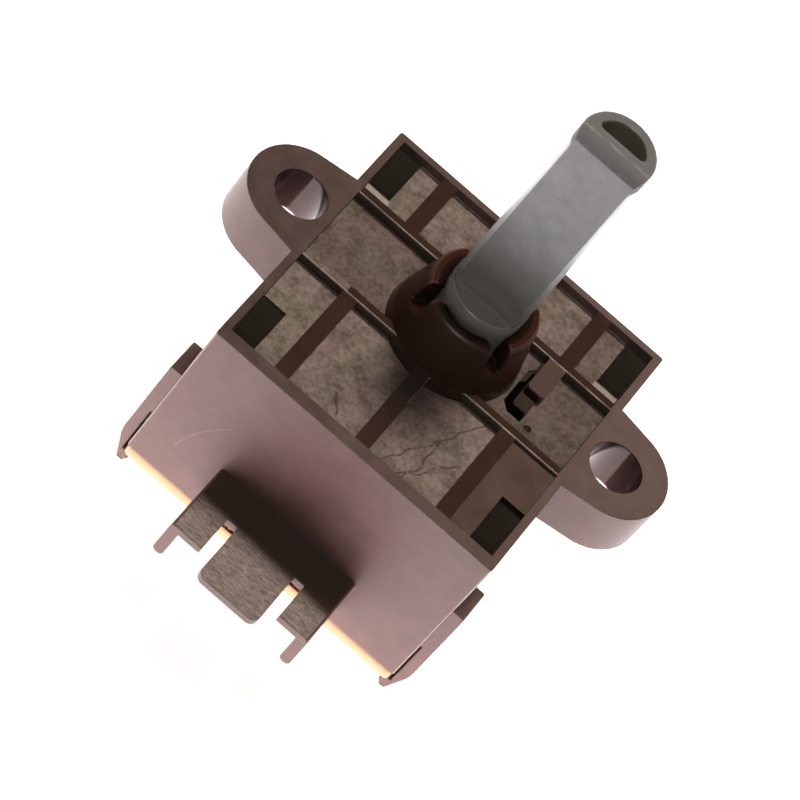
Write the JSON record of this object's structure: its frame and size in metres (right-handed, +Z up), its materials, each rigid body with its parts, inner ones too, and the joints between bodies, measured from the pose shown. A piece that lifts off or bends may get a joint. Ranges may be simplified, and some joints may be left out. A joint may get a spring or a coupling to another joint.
{
  "type": "oven selector switch",
  "caption": "Rotary selector switch with a D-shaped plastic shaft in a slotted collar, screw ears, a brown moulded housing, an inner ball detent and a hooded edge connector.",
  "frame": {"origin": "on the shaft axis, level with the rim and the top faces of the ears, midway between the two screw holes", "axes": "+Z up the shaft towards the knob, +X to the right ear, the connector hood points to -Y"},
  "size_m": [0.0386, 0.0352, 0.0426],
  "materials": {
    "housing_polyester": "fine moulded grain, satin",
    "shaft_polyamide": "moulded, slightly glossy",
    "rotor_acetal": "moulded, smooth",
    "ball_steel": "polished",
    "spring_wire": "drawn wire",
    "phosphor_bronze": "rolled strip, stamped",
    "board_laminate": "pressed laminate with sawn edges",
    "track_copper": "etched foil"
  },
  "bodies": {
    "base": {"housing": "housing_polyester", "circuit_board": "board_laminate", "common_ring": "track_copper", "code_arc_a": "track_copper", "code_arc_b": "track_copper", "code_arc_c_back": "track_copper", "code_arc_c_front": "track_copper", "lead_common": "track_copper", "lead_a": "track_copper", "lead_b": "track_copper", "lead_c": "track_copper", "edge_pad_common": "track_copper", "edge_pad_a": "track_copper", "edge_pad_b": "track_copper", "edge_pad_c": "track_copper"},
    "spindle": {"shaft": "shaft_polyamide", "rotor": "rotor_acetal", "detent_spring_left": "spring_wire", "detent_spring_right": "spring_wire", "contact_brush": "phosphor_bronze"},
    "ball_left": {"detent_ball_left": "ball_steel"},
    "ball_right": {"detent_ball_right": "ball_steel"}
  },
  "joints": [
    {"name": "shaft_turn", "type": "hinge", "parent": "base", "child": "spindle", "pos_m": [0, 0, 0], "axis": [0, 0, 1], "continuous": true},
    {"name": "ball_left_slide", "type": "slide", "parent": "spindle", "child": "ball_left", "axis": [-1, 0, 0], "range_m": [0, 0.0004], "stiffness_N_per_m": 500, "springref_m": 0.003},
    {"name": "ball_right_slide", "type": "slide", "parent": "spindle", "child": "ball_right", "axis": [1, 0, 0], "range_m": [0, 0.0004], "stiffness_N_per_m": 500, "springref_m": 0.003}
  ]
}
